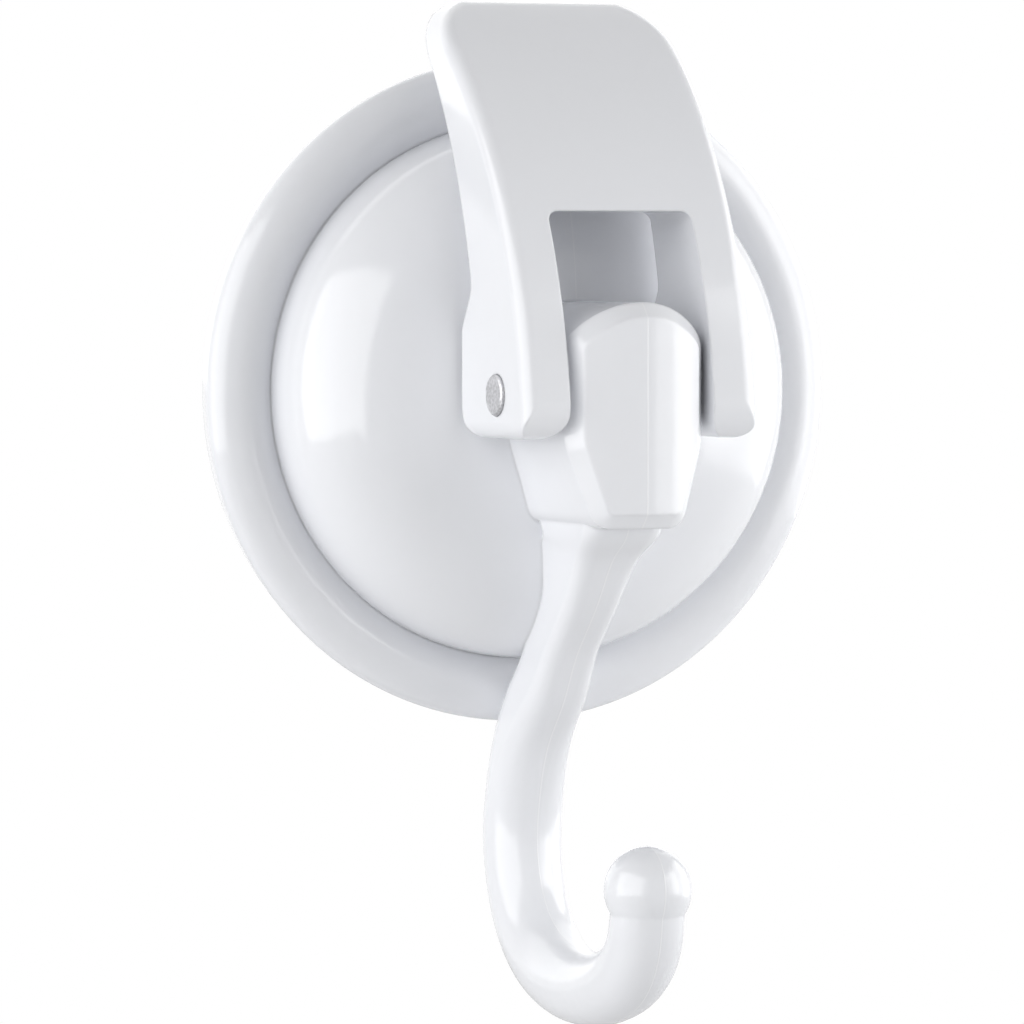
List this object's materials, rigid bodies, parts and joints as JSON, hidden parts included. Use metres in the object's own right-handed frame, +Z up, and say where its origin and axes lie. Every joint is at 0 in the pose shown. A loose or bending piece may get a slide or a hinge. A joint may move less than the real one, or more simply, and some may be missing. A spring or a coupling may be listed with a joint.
{
  "type": "suction cup hook",
  "caption": "Lever-lock suction cup hook: domed white cover with an arm, bend and ball end, a forked cam lever on a steel pin, and a soft cup behind.",
  "frame": {"origin": "on the suction cup's axis, in the plane of the wall that the cup's lip lies on", "axes": "+Z up, +Y into the wall, +X to the right as seen from in front"},
  "size_m": [0.06, 0.0375, 0.0909],
  "materials": {
    "white_plastic": "glossy moulded white",
    "lever_plastic": "glossy moulded white",
    "pin_steel": "cut pin end, fine grey grain",
    "stem_plastic": "satin moulded white",
    "soft_cup": "smooth milky soft plastic"
  },
  "bodies": {
    "cup": {"suction_cup": "soft_cup", "cup_stem": "stem_plastic", "hinge_pin": "pin_steel"},
    "cover": {"hook_cover": "white_plastic"},
    "lever": {"lever": "lever_plastic"}
  },
  "joints": [
    {"name": "lever_hinge", "type": "hinge", "parent": "cup", "child": "lever", "pos_m": [0, -0.0261, 0], "axis": [1, 0, 0], "range_deg": [0, 90]},
    {"name": "cover_slide", "type": "slide", "parent": "cup", "child": "cover", "axis": [0, -1, 0], "range_m": [0, 0.0018]}
  ],
  "couplings": [
    {"joint": "cover_slide", "follows": "lever_hinge", "m_per_rad": 0.0011459}
  ]
}
